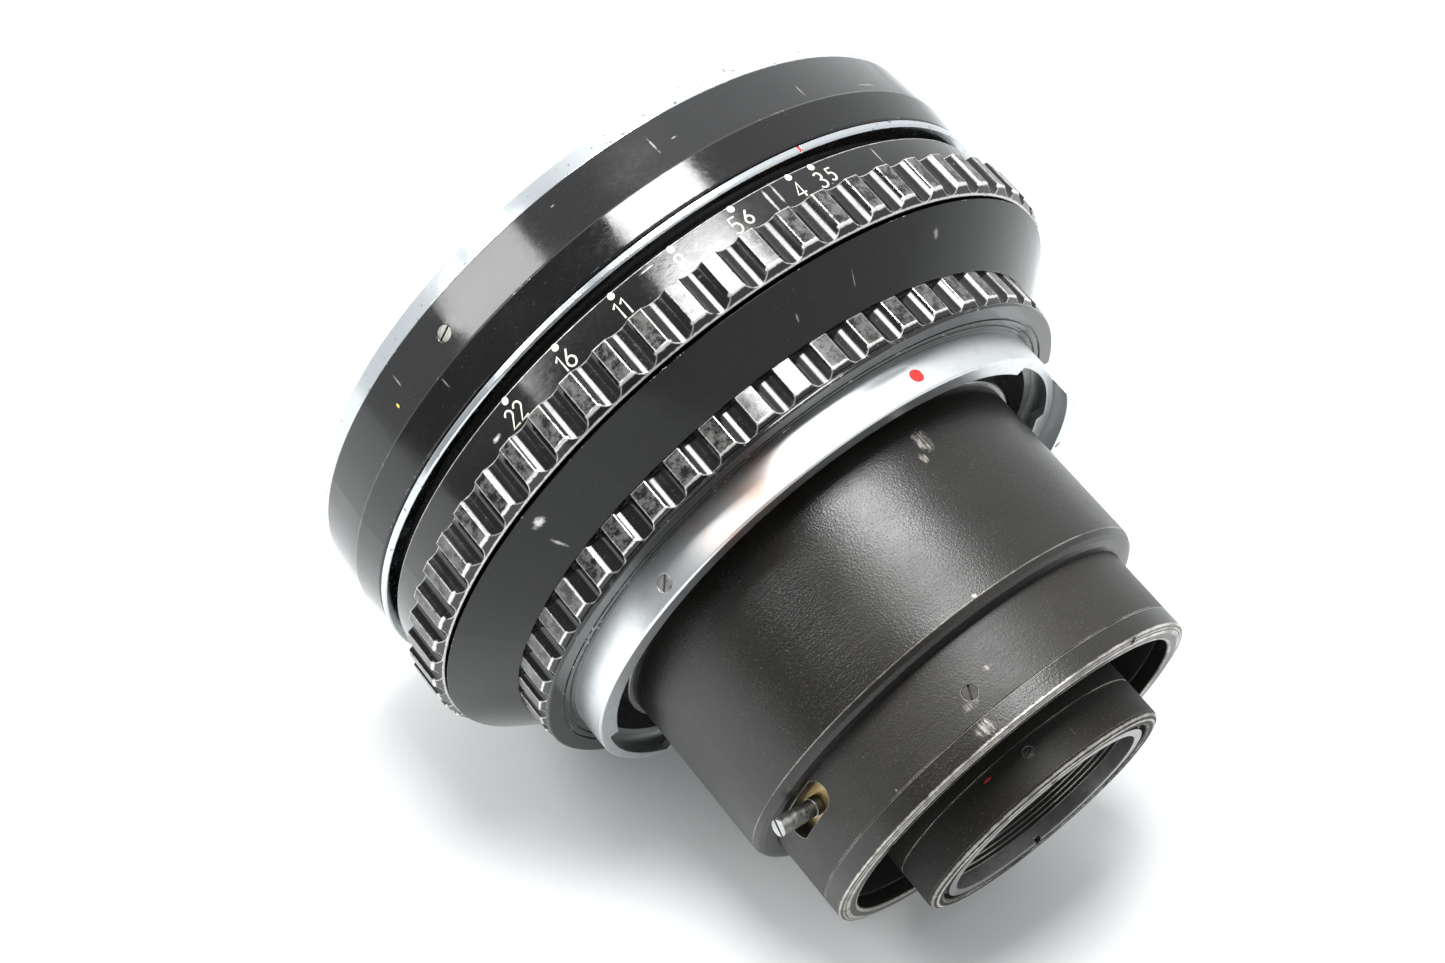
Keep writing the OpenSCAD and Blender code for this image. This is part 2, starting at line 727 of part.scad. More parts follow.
// one curved leaf, its pivot in the housing and its stud in the iris ring
module iris_blade(i) {
  top = iris_front_z - blade_gap - i * blade_pitch;
  color("#303030") lens_frame() rotate([0, 0, i * 360 / blades]) {
    sector(blade_outer_r, open_r, top, top - blade_t, 8, blade_span);
    sector(pivot_r, 14, top, top - blade_t, -1, 9);
    translate([pivot_r, 0, top - blade_t]) cylinder(r = 1.4, h = blade_t, $fn = 24);
    translate([pivot_r, 0, top - blade_t]) rotate([0, 0, -blade_turn / 2]) {
      translate([0, -0.9, 0]) cube([stud_at, 1.8, blade_t]);
      translate([stud_at, 0, 0]) cylinder(r = 0.9, h = blade_t, $fn = 24);
      translate([stud_at, 0, iris_ring_z - iris_ring_t - top + blade_t])
        cylinder(r = stud_r, h = top - iris_ring_z + iris_ring_t - eps, $fn = 24);
    }
    translate([pivot_r, 0, top - eps])
      cylinder(r = pivot_pin_r, h = iris_front_z + 0.8 - top, $fn = 24);
  }
}

module iris_blade_1() { iris_blade(0); }
module iris_blade_2() { iris_blade(1); }
module iris_blade_3() { iris_blade(2); }
module iris_blade_4() { iris_blade(3); }
module iris_blade_5() { iris_blade(4); }
module iris_blade_6() { iris_blade(5); }
module iris_blade_7() { iris_blade(6); }

// ---------------------------------------------------------------- stop-down pin

module pin_carrier() {
  color("goldenrod") lens_frame() difference() {
    ring(barrel_bore_r - run, 21.9, slot_z + 1.9, slot_z - 1.6);
    radial(pin_foot_r + fit, 21, 24, pin_angle, slot_z);
  }
}

module stop_down_pin() {
  color("silver") lens_frame() difference() {
    union() {
      radial(pin_foot_r, 21.95, barrel_bore_r, pin_angle, slot_z);
      radial(pin_collar_r, barrel_bore_r, 24.1, pin_angle, slot_z);
      radial(pin_r, 24.1 - eps, pin_reach, pin_angle, slot_z);
    }
    rotate([0, 0, pin_angle]) translate([pin_reach, 0, slot_z]) rotate([65, 0, 0])
      cube([0.9, 3, 0.35], center = true);
  }
}

module return_spring() {
  color("silver") lens_frame() rotate([0, 0, 190]) translate([21.5, -5, slot_z + 3.6])
    rotate([-90, 0, 0]) coil(0.55, 0.12, 6, 10);
}

front_rim();
name_ring();
front_barrel();
front_barrel_screws();
index_ring();
index_mark();
main_barrel();
cone_skirt();
grip_ring();
seat_flange();
bayonet_ring();
bayonet_liner();
bayonet_screws();
bayonet_dot();
locking_lug();
lug_screws();
tube_collar();
aperture_ring();
aperture_key();
transfer_ring();
transfer_lever();
cam_ring();
iris_ring();
detent_ball();
detent_spring();
front_cell();
front_cell_spacer();
front_glass();
second_glass();
third_glass();
third_glass_retainer();
rear_tube();
rear_barrel();
rear_barrel_screws();
rear_end_ring();
rear_retaining_ring();
rear_bulkhead();
rear_cell_sleeve();
rear_cell();
rear_cell_screw();
rear_cell_retainer();
rear_baffle();
rear_glass();
inner_doublet();
doublet_retainer();
iris_housing();
iris_cover();
iris_cover_screws();
iris_blade_1();
iris_blade_2();
iris_blade_3();
iris_blade_4();
iris_blade_5();
iris_blade_6();
iris_blade_7();
pin_carrier();
stop_down_pin();
return_spring();
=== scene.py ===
import json
import math

import bpy
from mathutils import Matrix, Vector


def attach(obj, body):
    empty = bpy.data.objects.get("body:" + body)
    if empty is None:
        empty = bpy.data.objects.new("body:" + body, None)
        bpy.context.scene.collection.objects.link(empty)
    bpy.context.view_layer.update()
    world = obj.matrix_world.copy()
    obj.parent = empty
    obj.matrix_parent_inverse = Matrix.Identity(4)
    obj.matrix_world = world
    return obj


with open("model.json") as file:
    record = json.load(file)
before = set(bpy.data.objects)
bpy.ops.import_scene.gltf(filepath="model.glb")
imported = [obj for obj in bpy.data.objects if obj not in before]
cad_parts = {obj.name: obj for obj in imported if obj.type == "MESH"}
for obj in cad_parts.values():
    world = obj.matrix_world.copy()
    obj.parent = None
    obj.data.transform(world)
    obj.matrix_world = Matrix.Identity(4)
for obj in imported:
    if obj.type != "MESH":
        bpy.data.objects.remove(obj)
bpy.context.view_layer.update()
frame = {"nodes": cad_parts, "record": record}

MM = 0.001

# ---------------------------------------------------------------- sizes (mm, degrees)
NUMBER_R = 43.5           # radius of the numbered band
DIGIT_Y = -17.9           # middle of the digits along the axis
DIGIT_H = 2.05
DIGIT_SINK = 0.09         # how deep the middle of a stroke sits in the band
STROKE = 0.15             # half-width of a stroke
LETTER_GAP = 0.10         # between digits, in digit heights
SMALL_DIGIT = 0.82        # height of the digits after a decimal point
FIRST_SHIFT = 0.8         # the first number stands a little past its dot
DOT_Y = -19.8
DOT_R = 0.46
STOPS = [("3.5", 90.0), ("4", 85.8), ("5.6", 75.55), ("8", 65.3), ("11", 55.05),
         ("16", 44.8), ("22", 34.55)]


# ---------------------------------------------------------------- node helpers
class Nodes:
    """An emptied node tree with short helpers."""

    def __init__(self, owner):
        owner.use_nodes = True
        self.t = owner.node_tree
        self.t.nodes.clear()

    def n(self, kind, **props):
        node = self.t.nodes.new(kind)
        for key, value in props.items():
            setattr(node, key, value)
        return node

    def link(self, a, b):
        self.t.links.new(a, b)

    def put(self, node, index, value):
        """Sets an input to a number or a tuple, or links a socket to it."""
        if isinstance(value, (int, float, tuple)):
            node.inputs[index].default_value = value
        else:
            self.link(value, node.inputs[index])

    def math(self, op, a, b=0.0, clamp=False):
        node = self.n("ShaderNodeMath", operation=op, use_clamp=clamp)
        self.put(node, 0, a)
        self.put(node, 1, b)
        return node.outputs[0]

    def plus(self, a, b):
        return self.math("ADD", a, b)

    def minus(self, a, b):
        return self.math("SUBTRACT", a, b)

    def times(self, a, b):
        return self.math("MULTIPLY", a, b)

    def larger(self, a, b):
        return self.math("MAXIMUM", a, b)

    def hypot(self, a, b):
        return self.math("SQRT", self.plus(self.times(a, a), self.times(b, b)))

    def ramp(self, value, lo, hi, a=0.0, b=1.0):
        """Maps value between lo and hi to a..b, smoothly and clamped."""
        node = self.n("ShaderNodeMapRange", interpolation_type="SMOOTHSTEP")
        for index, number in enumerate((value, lo, hi, a, b)):
            self.put(node, index, number)
        return node.outputs[0]

    def mix(self, fac, a, b, blend="MIX"):
        node = self.n("ShaderNodeMix", data_type="RGBA", blend_type=blend)
        self.put(node, 0, fac)
        for index, colour in ((6, a), (7, b)):
            self.put(node, index, (*colour, 1.0) if isinstance(colour, tuple) else colour)
        return node.outputs[2]

    def dot(self, a, b):
        node = self.n("ShaderNodeVectorMath", operation="DOT_PRODUCT")
        self.put(node, 0, a)
        self.put(node, 1, b)
        return node.outputs["Value"]


class Mat(Nodes):
    """A material built on one Principled shader, in the object's own coordinates."""

    def __init__(self, name):
        self.m = bpy.data.materials.new(name)
        super().__init__(self.m)
        self.out = self.n("ShaderNodeOutputMaterial")
        self.b = self.n("ShaderNodeBsdfPrincipled")
        self.link(self.b.outputs[0], self.out.inputs[0])
        self.coord = self.n("ShaderNodeTexCoord").outputs["Object"]

    def set(self, **vals):
        for key, value in vals.items():
            self.b.inputs[key.replace("_", " ")].default_value = value

    def feed(self, name, value):
        self.link(value, self.b.inputs[name])

    def noise(self, scale, detail=4.0, rough=0.55, vec=None):
        node = self.n("ShaderNodeTexNoise")
        self.link(self.coord if vec is None else vec, node.inputs["Vector"])
        node.inputs["Scale"].default_value = scale
        node.inputs["Detail"].default_value = detail
        node.inputs["Roughness"].default_value = rough
        return node.outputs[0]

    def cyl(self):
        """Cylinder coordinates about the optical axis: angle, distance from the axis, y."""
        split = self.n("ShaderNodeSeparateXYZ")
        self.link(self.coord, split.inputs[0])
        x, y, z = split.outputs
        return self.math("ARCTAN2", z, x), self.hypot(x, z), y

    def wrapped(self, cyl, scales, detail, rough):
        """Noise in cylinder coordinates, each stretched by a scale of its own."""
        node = self.n("ShaderNodeCombineXYZ")
        for index, (value, scale) in enumerate(zip(cyl, scales)):
            self.put(node, index, self.times(value, scale))
        return self.noise(1.0, detail, rough, node.outputs[0])

    def bump(self, height, strength, distance, normal=None):
        node = self.n("ShaderNodeBump")
        node.inputs["Strength"].default_value = strength
        node.inputs["Distance"].default_value = distance
        self.link(height, node.inputs["Height"])
        if normal is not None:
            self.link(normal, node.inputs["Normal"])
        return node.outputs[0]

    def edge(self, radius):
        """Rounded normal and a mask that is 1 on the edges of the mesh."""
        bevel = self.n("ShaderNodeBevel", samples=6)
        bevel.inputs[0].default_value = radius
        geo = self.n("ShaderNodeNewGeometry")
        flat = self.dot(bevel.outputs[0], geo.outputs["Normal"])
        return bevel.outputs[0], self.math("SUBTRACT", 1.0, flat, True)

    def worn_circles(self, cyl, circles, ragged):
        """A ragged line of wear along each circle (radius mm, y mm, half-width mm, amount)."""
        total = None
        for r0, y0, half, amount in circles:
            far = self.hypot(self.minus(cyl[1], r0 * MM), self.minus(cyl[2], y0 * MM))
            noisy = self.plus(far, self.times(ragged, 1.6 * half * MM))
            line = self.ramp(noisy, 1.0 * half * MM, 1.7 * half * MM, amount, 0.0)
            total = line if total is None else self.larger(total, line)
        return total

    def scratches(self, wear, cyl, marks, ragged, fray, core, mask=None):
        """Adds marks (angle degrees, y mm, half-width radians, half-length mm, amount).

        The outline is frayed by the ragged noise, and core is where a mark starts to fade.
        """
        for at, along, width, length, amount in marks:
            da = self.math("DIVIDE", self.minus(cyl[0], math.radians(at)), width)
            dy = self.math("DIVIDE", self.minus(cyl[2], along * MM), length * MM)
            far = self.plus(self.hypot(da, dy), self.times(ragged, fray))
            mark = self.ramp(far, core, core + 0.7, amount, 0.0)
            wear = self.larger(wear, mark if mask is None else self.times(mark, mask))
        return wear


# ---------------------------------------------------------------- materials
ENAMEL = (0.0055, 0.0055, 0.006)
DUST = (0.25, 0.25, 0.24)
THIN_ENAMEL = (0.15, 0.145, 0.14)     # the tops of the knurls, rubbed but not bare
BARE_METAL = (0.80, 0.79, 0.76)
RUBBED_ANODISED = (0.66, 0.62, 0.56)
PALE_GRAIN = (0.085, 0.080, 0.072)


def chrome_rim():
    """Turned chrome with small pits."""
    k = Mat("rim_chrome")
    lines = k.wrapped(k.cyl(), (6.0, 5000.0, 5000.0), 5, 0.6)
    pits = k.noise(1500, 3, 0.6)
    dull = k.noise(120, 5, 0.6)
    pit = k.ramp(pits, 0.64, 0.70)
    chrome = k.mix(dull, (0.64, 0.67, 0.69), (0.54, 0.57, 0.59))
    k.feed("Base Color", k.mix(pit, chrome, (0.20, 0.20, 0.21)))
    k.feed("Roughness", k.ramp(k.plus(dull, k.times(pit, 0.5)), 0.35, 0.9, 0.14, 0.42))
    k.set(Metallic=1.0)
    rounded, _ = k.edge(0.15 * MM)
    fine = k.bump(lines, 0.10, 0.00002, rounded)
    k.feed("Normal", k.bump(pits, 0.18, 0.00003, fine))
    return k.m


def satin_chrome():
    """Brushed chrome of the bayonet, with one warm stain."""
    k = Mat("satin_chrome")
    cyl = k.cyl()
    lines = k.wrapped(cyl, (4.0, 7000.0, 7000.0), 6, 0.65)
    rubs = k.wrapped(cyl, (14.0, 900.0, 900.0), 4, 0.6)
    stain = k.noise(70, 4, 0.6)
    warm_at = k.math("ABSOLUTE", k.minus(cyl[0], 0.87))
    warm = k.times(k.ramp(warm_at, 0.04, 0.26, 1.0, 0.0), k.ramp(stain, 0.30, 0.55))
    base = k.mix(k.ramp(rubs, 0.45, 0.75), (0.76, 0.78, 0.79), (0.68, 0.70, 0.71))
    k.feed("Base Color", k.mix(k.times(warm, 0.85), base, (0.76, 0.50, 0.38)))
    k.feed("Roughness", k.ramp(k.plus(rubs, k.times(stain, 0.4)), 0.4, 1.1, 0.30, 0.36))
    k.set(Metallic=1.0, Anisotropic=0.5)
    rounded, _ = k.edge(0.12 * MM)
    fine = k.bump(lines, 0.14, 0.00002, rounded)
    k.feed("Normal", k.bump(rubs, 0.02, 0.00002, fine))
    return k.m


def gloss_black(name, knurled=False, worn_y=None, marks=(), circles=(), land_r=None,
                gloss=0.5):
    """Black enamel. Knurled parts are worn to bright metal along their edges.

    worn_y limits the wear of edges to a stretch of the axis, and the enamel is rubbed thin
    from just inside land_r outwards.
    """
    k = Mat(name)
    cyl = k.cyl()
    smear = k.noise(70, 6, 0.65)
    grain = k.noise(900, 4, 0.6)
    dust = k.noise(3800, 2, 0.5)
    scuff = k.wrapped(cyl, (60.0, 500.0, 2200.0), 5, 0.7)
    rounded, edge = k.edge((0.22 if knurled else 0.16) * MM)
    ragged = k.noise(1500, 5, 0.7)
    patch = k.noise(240, 4, 0.6)
    if knurled:
        wear = k.times(k.ramp(k.plus(edge, k.times(ragged, 0.12)), 0.075, 0.115),
                       k.ramp(k.plus(ragged, k.times(patch, 0.7)), 0.62, 0.80))
    else:
        wear = k.times(k.ramp(k.plus(edge, k.times(ragged, 0.10)), 0.085, 0.13),
                       k.ramp(k.plus(ragged, k.times(patch, 0.9)), 1.04, 1.16))
    if worn_y:
        low, high = worn_y
        wear = k.times(wear, k.times(k.ramp(cyl[2], low * MM, (low + 0.2) * MM),
                                     k.ramp(cyl[2], (high - 0.2) * MM, high * MM, 1.0, 0.0)))
    if circles:
        wear = k.larger(wear, k.worn_circles(cyl, circles, ragged))
    wear = k.scratches(wear, cyl, marks, ragged, 1.4, 0.9)
    colour = k.mix(k.times(k.ramp(dust, 0.66, 0.75), 0.10), ENAMEL, DUST)
    if land_r:
        rubbed = k.times(k.ramp(cyl[1], (land_r - 0.12) * MM, (land_r - 0.04) * MM),
                         k.ramp(k.noise(700, 6, 0.75), 0.40, 0.60))
        colour = k.mix(k.times(rubbed, 0.8), colour, THIN_ENAMEL)
    k.feed("Base Color", k.mix(wear, colour, BARE_METAL))
    rough = k.n("ShaderNodeMix", data_type="FLOAT")
    k.put(rough, 0, wear)
    k.put(rough, 2, k.ramp(k.plus(smear, k.times(scuff, 0.35)), 0.4, 0.95, 0.04, 0.24))
    k.put(rough, 3, 0.38)
    k.feed("Roughness", rough.outputs[0])
    k.feed("Metallic", k.times(wear, 0.9))
    k.set(IOR=1.52, Specular_IOR_Level=gloss)
    height = k.plus(k.times(grain, 0.5), k.times(scuff, 0.3))
    height = k.minus(height, k.times(wear, 0.8))
    k.feed("Normal", k.bump(height, 0.16, 0.00005, rounded))
    return k.m


def matte_black(name, base=0.008, rough=(0.27, 0.41), marks=(), edge_at=0.10, circles=(),
                gloss=0.5, grain_depth=0.6):
    """Satin black anodised metal with a fine grain, rubbed pale along its edges."""
    k = Mat(name)
    cyl = k.cyl()
    grain = k.noise(4200, 2, 0.6)
    cloud = k.noise(60, 5, 0.6)
    turned = k.wrapped(cyl, (3.0, 3000.0, 3000.0), 4, 0.6)
    rounded, edge = k.edge(0.18 * MM)
    ragged = k.noise(1300, 5, 0.7)
    patch = k.noise(150, 4, 0.6)
    rub = k.times(k.ramp(k.plus(edge, k.times(ragged, 0.08)), edge_at, edge_at + 0.12),
                  k.ramp(patch, 0.36, 0.62, 0.25, 1.0))
    if circles:
        worn = k.worn_circles(cyl, circles, ragged)
        rub = k.larger(rub, k.times(worn, k.ramp(patch, 0.36, 0.56, 0.35, 1.0)))
    streak = k.ramp(k.wrapped(cyl, (130.0, 100.0, 500.0), 4, 0.7), 0.46, 0.56, 0.15, 1.0)
    rub = k.scratches(rub, cyl, marks, ragged, 1.6, 1.0, streak)
    speck = k.times(k.ramp(grain, 0.60, 0.72),
                    k.ramp(patch, 0.40, 0.62, 0.3 * grain_depth, grain_depth))
    dark = k.mix(cloud, (base * 0.75, base * 0.7, base * 0.6),
                 (base * 1.8, base * 1.55, base * 1.3))
    dark = k.mix(speck, dark, PALE_GRAIN)
    k.feed("Base Color", k.mix(rub, dark, RUBBED_ANODISED))
    k.feed("Roughness", k.ramp(cloud, 0.3, 0.75, *rough))
    k.feed("Metallic", k.times(rub, 0.7))
    k.set(IOR=1.5, Specular_IOR_Level=gloss)
    height = k.plus(k.times(grain, 0.7), k.times(turned, 0.4))
    k.feed("Normal", k.bump(height, grain_depth, 0.00009, rounded))
    return k.m


def metal(name, colour, rough, grime=0.4, dark=(0.10, 0.09, 0.08), solid=1.0):
    """Small turned parts, with dirt left in patches. solid is how metallic the surface is."""
    k = Mat(name)
    fine = k.noise(2200, 4, 0.65)
    blot = k.noise(320, 4, 0.6)
    k.feed("Base Color", k.mix(k.times(k.ramp(blot, 0.45, 0.72), grime), colour, dark))
    k.feed("Roughness", k.ramp(fine, 0.3, 0.75, rough - 0.08, rough + 0.12))
    k.set(Metallic=solid)
    rounded, _ = k.edge(0.08 * MM)
    k.feed("Normal", k.bump(fine, 0.15, 0.00003, rounded))
    return k.m


def coated_glass():
    """Glass whose coating turns from blue to violet at a slant."""
    k = Mat("coated_glass")
    film = k.n("ShaderNodeLayerWeight")
    film.inputs[0].default_value = 0.35
    k.feed("Base Color", k.mix(film.outputs["Facing"], (0.80, 0.82, 0.90), (0.62, 0.52, 0.80)))
    k.feed("Roughness", k.ramp(k.noise(5200, 2, 0.5), 0.72, 0.84, 0.01, 0.08))
    k.set(IOR=1.6, Transmission_Weight=1.0)
    return k.m


def paint(name, colour, rough=0.4):
    """Old paint, darker where it has flaked."""
    k = Mat(name)
    flake = k.noise(2600, 4, 0.6)
    worn = tuple(c * 0.7 for c in colour)
    k.feed("Base Color", k.mix(k.ramp(flake, 0.45, 0.72), colour, worn))
    k.feed("Roughness", k.ramp(flake, 0.3, 0.7, rough - 0.1, rough + 0.15))
    k.feed("Normal", k.bump(flake, 0.2, 0.00003))
    return k.m


rim = chrome_rim()
satin = satin_chrome()
band = gloss_black("band_enamel", marks=[
    (73.0, -30.5, 0.004, 1.6, 0.35), (76.0, -30.0, 0.012, 0.12, 0.4),
    (68.5, -25.2, 0.004, 1.0, 0.3), (112.0, -28.2, 0.060, 0.10, 0.4),
    (98.0, -29.0, 0.003, 1.4, 0.3), (24.0, -31.0, 0.003, 1.2, 0.35),
    (30.0, -26.0, 0.003, 0.9, 0.3), (57.0, -31.6, 0.008, 0.12, 0.4)])
ring_black = gloss_black(
    "ring_enamel", knurled=True, worn_y=(-16.6, -9.8), land_r=45.0,
    circles=[(43.5, -20.15, 0.09, 0.8), (45.0, -16.05, 0.12, 0.9),
             (44.9, -11.3, 0.34, 1.0), (44.1, -10.4, 0.22, 0.8)],
    marks=[(30.0, -17.8, 0.018, 0.35, 1.0), (81.0, -18.3, 0.006, 2.6, 0.6),
           (82.6, -18.6, 0.005, 2.4, 0.5), (102.0, -18.6, 0.004, 1.8, 0.5),
           (61.0, -19.6, 0.030, 0.12, 0.5)])
grip_black = gloss_black(
    "grip_enamel", knurled=True, land_r=37.6,
    circles=[(37.55, -1.2, 0.24, 1.0), (36.9, -0.6, 0.14, 0.6), (37.6, -4.95, 0.10, 0.8)])
cone_black = gloss_black(
    "cone_enamel", gloss=0.30,
    marks=[(26.0, -8.6, 0.030, 0.5, 0.75), (24.0, -6.6, 0.008, 0.9, 0.5),
           (103.0, -8.0, 0.012, 0.5, 0.3), (85.0, -7.4, 0.003, 0.9, 0.25),
           (74.0, -6.9, 0.004, 0.5, 0.25)])
plain_black = gloss_black("plain_enamel")
tube_black = matte_black(
    "tube_anodised", edge_at=0.14, circles=[(27.4, 24.5, 0.12, 0.35)],
    marks=[(89.5, 7.0, 0.045, 2.0, 0.7), (86.5, 8.8, 0.025, 1.0, 0.6),
           (73.0, 24.3, 0.020, 0.4, 0.8)])
barrel_black = matte_black(
    "barrel_anodised", base=0.010, rough=(0.42, 0.56),
    marks=[(57.0, 32.4, 0.05, 0.7, 0.35), (66.0, 30.4, 0.03, 0.5, 0.3),
           (30.0, 33.6, 0.010, 0.3, 0.3)])
end_black = matte_black(
    "end_anodised", edge_at=0.06,
    circles=[(24.85, 36.5, 0.28, 0.9), (23.85, 36.8, 0.36, 1.0),
             (24.35, 36.65, 0.14, 0.8), (22.6, 36.8, 0.30, 1.0)],
    marks=[(56.0, 35.0, 0.06, 1.2, 0.5)])
cell_black = matte_black(
    "cell_anodised", base=0.009, rough=(0.50, 0.64), edge_at=0.06, gloss=0.25,
    circles=[(16.15, 41.9, 0.26, 0.55), (15.6, 42.2, 0.26, 0.9), (14.75, 42.2, 0.16, 0.7)],
    marks=[(82.0, 39.4, 0.004, 1.2, 0.4)])
inner_black = matte_black("inner_black", base=0.012, rough=(0.5, 0.7), edge_at=0.3,
                          grain_depth=0.15)
baffle_black = matte_black("baffle_black", base=0.012, rough=(0.32, 0.45), edge_at=0.14,
                           grain_depth=0.12)
steel = metal("turned_steel", (0.55, 0.55, 0.53), 0.34)
dark_steel = metal("dark_steel", (0.10, 0.10, 0.10), 0.42)
screw_steel = metal("screw_steel", (0.40, 0.39, 0.36), 0.40, grime=0.8,
                    dark=(0.06, 0.055, 0.05))
old_brass = metal("old_brass", (0.46, 0.34, 0.16), 0.36, grime=0.7, dark=(0.14, 0.11, 0.06))
ring_grey = metal("ring_grey", (0.34, 0.34, 0.34), 0.40)
small_black = metal("blackened_steel", (0.045, 0.044, 0.042), 0.46, grime=0.6,
                    dark=(0.02, 0.02, 0.02))
lug_chrome = metal("lug_chrome", (0.90, 0.92, 0.93), 0.46, grime=0.15,
                   dark=(0.62, 0.63, 0.64), solid=0.55)
glass = coated_glass()
red = paint("red_enamel", (0.68, 0.025, 0.02), 0.32)
dark_red = paint("worn_red", (0.34, 0.02, 0.015), 0.45)
white = paint("scale_white", (0.82, 0.79, 0.68), 0.5)
yellow = paint("yellow_speck", (0.70, 0.55, 0.10), 0.5)

LOOKS = {
    "front_rim": rim, "index_ring": rim, "bayonet_ring": satin, "locking_lug": lug_chrome,
    "front_barrel": band, "name_ring": plain_black, "aperture_ring": ring_black,
    "grip_ring": grip_black, "cone_skirt": cone_black, "seat_flange": plain_black,
    "rear_tube": tube_black, "rear_barrel": barrel_black, "rear_end_ring": end_black,
    "rear_retaining_ring": end_black, "rear_cell": cell_black,
    "rear_cell_sleeve": cell_black, "rear_baffle": baffle_black,
    "rear_cell_retainer": ring_grey, "tube_collar": ring_grey, "bayonet_liner": steel,
    "index_mark": red, "bayonet_dot": red, "front_barrel_screws": screw_steel,
    "bayonet_screws": steel, "rear_barrel_screws": small_black,
    "rear_cell_screw": small_black,
}
BY_SLOT = {
    "rim_chrome": rim, "satin_chrome": satin, "gloss_black": plain_black,
    "matte_black": inner_black, "steel": steel, "dark_steel": dark_steel,
    "brass": old_brass, "glass": glass, "red_paint": red,
}
slots = {part["node"]: part["material_slot"] for part in frame["record"]["subparts"]}
for name, obj in frame["nodes"].items():
    look = LOOKS.get(name, BY_SLOT[slots[name]])
    if not obj.material_slots:
        obj.data.materials.append(look)
    for slot in obj.material_slots:
        slot.material = look


# ---------------------------------------------------------------- paint on the surface
def arc(cx, cy, rx, ry, a0, a1, steps=9):
    """Points on an ellipse from angle a0 to a1, in digit heights."""
    points = []
    for i in range(steps + 1):
        a = math.radians(a0 + (a1 - a0) * i / steps)
        points.append((cx + rx * math.cos(a), cy + ry * math.sin(a)))
    return points


# each glyph: its width and its strokes, in digit heights from the lower left corner
GLYPHS = {
    "1": (0.34, [[(0.04, 0.78), (0.26, 1.0), (0.26, 0.0)]]),
    "2": (0.56, [arc(0.27, 0.74, 0.23, 0.26, 165, -25) + [(0.03, 0.0), (0.53, 0.0)]]),
    "3": (0.54, [arc(0.24, 0.76, 0.21, 0.24, 150, -90)
                 + arc(0.23, 0.26, 0.26, 0.26, 90, -150)]),
    "4": (0.58, [[(0.56, 0.26), (0.02, 0.26), (0.40, 1.0), (0.40, 0.0)]]),
    "5": (0.54, [[(0.48, 1.0), (0.12, 1.0), (0.08, 0.56)]
                 + arc(0.23, 0.32, 0.26, 0.32, 118, -140)]),
    "6": (0.56, [[(0.42, 1.0), (0.08, 0.46)] + arc(0.28, 0.28, 0.25, 0.28, 155, -205, 16)]),
    "8": (0.56, [arc(0.28, 0.76, 0.20, 0.24, -90, 270, 16),
                 arc(0.28, 0.26, 0.25, 0.26, 90, 450, 16)]),
    ".": (0.10, [[(0.05, 0.02), (0.051, 0.03)]]),
}


def on_ring(angle, y, r):
    """A point at an angle in radians, with y and r in mm."""
    return Vector((r * math.cos(angle) * MM, y * MM, r * math.sin(angle) * MM))


def add_object(name, data):
    obj = bpy.data.objects.new(name, data)
    bpy.context.collection.objects.link(obj)
    return obj


def disc_faces(rings, around):
    """Faces of a disc whose vertices are its centre and then ring after ring."""
    faces = [(0, 1 + j, 1 + (j + 1) % around) for j in range(around)]
    for i in range(rings - 1):
        a, b = 1 + i * around, 1 + (i + 1) * around
        for j in range(around):
            k = (j + 1) % around
            faces.append((a + j, b + j, b + k, a + k))
    return faces


def number(text, centre):
    """Single-stroke digits wrapped on the band, tops towards the front."""
    point_at = text.find(".")
    scales = [SMALL_DIGIT if 0 <= point_at < i else 1.0 for i in range(len(text))]
    width = sum(GLYPHS[c][0] * k for c, k in zip(text, scales)) + LETTER_GAP * (len(text) - 1)
    curve = bpy.data.curves.new("number_" + text.replace(".", "_"), "CURVE")
    curve.dimensions = "3D"
    curve.bevel_depth = STROKE * MM
    curve.bevel_resolution = 2
    curve.use_fill_caps = True
    x = -width / 2
    for c, scale in zip(text, scales):
        glyph_w, strokes = GLYPHS[c]
        for stroke in strokes:
            spline = curve.splines.new("POLY")
            spline.points.add(len(stroke) - 1)
            for point, (px, py) in zip(spline.points, stroke):
                angle = math.radians(centre) + (x + px * scale) * DIGIT_H / NUMBER_R
                y = DIGIT_Y - ((py - 0.5) * scale + 0.5 * (1 - scale)) * DIGIT_H
                point.co = (*on_ring(angle, y, NUMBER_R - DIGIT_SINK), 1.0)
        x += glyph_w * scale + LETTER_GAP
    obj = add_object(curve.name, curve)
    curve.materials.append(white)
    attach(obj, "aperture_ring")
    return obj


def spot(name, angle, y, r, radius, body, look, stretch=1.0):
    """A thin domed dab of paint that follows the round surface, its rim sunk below it."""
    rings, around = 4, 24
    rise, sink = 0.04, 0.03
    a0 = math.radians(angle)
    verts = [on_ring(a0, y, r + rise)]
    for i in range(1, rings + 1):
        rr = radius * i / rings
        lift = rise * (1 - (i / rings) ** 2) - (sink if i == rings else 0.0)
        for j in range(around):
            t = 2 * math.pi * j / around
            verts.append(on_ring(a0 + rr * stretch * math.cos(t) / r,
                                 y + rr * math.sin(t), r + lift))
    mesh = bpy.data.meshes.new(name)
    mesh.from_pydata(verts, [], disc_faces(rings, around))
    mesh.materials.append(look)
    for poly in mesh.polygons:
        poly.use_smooth = True
    obj = add_object(name, mesh)
    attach(obj, body)
    return obj


for label, angle in STOPS:
    tag = label.replace(".", "_")
    number(label, angle + (FIRST_SHIFT if label == STOPS[0][0] else 0.0))
    spot("dot_" + tag, angle, DOT_Y, NUMBER_R, DOT_R, "aperture_ring", white)

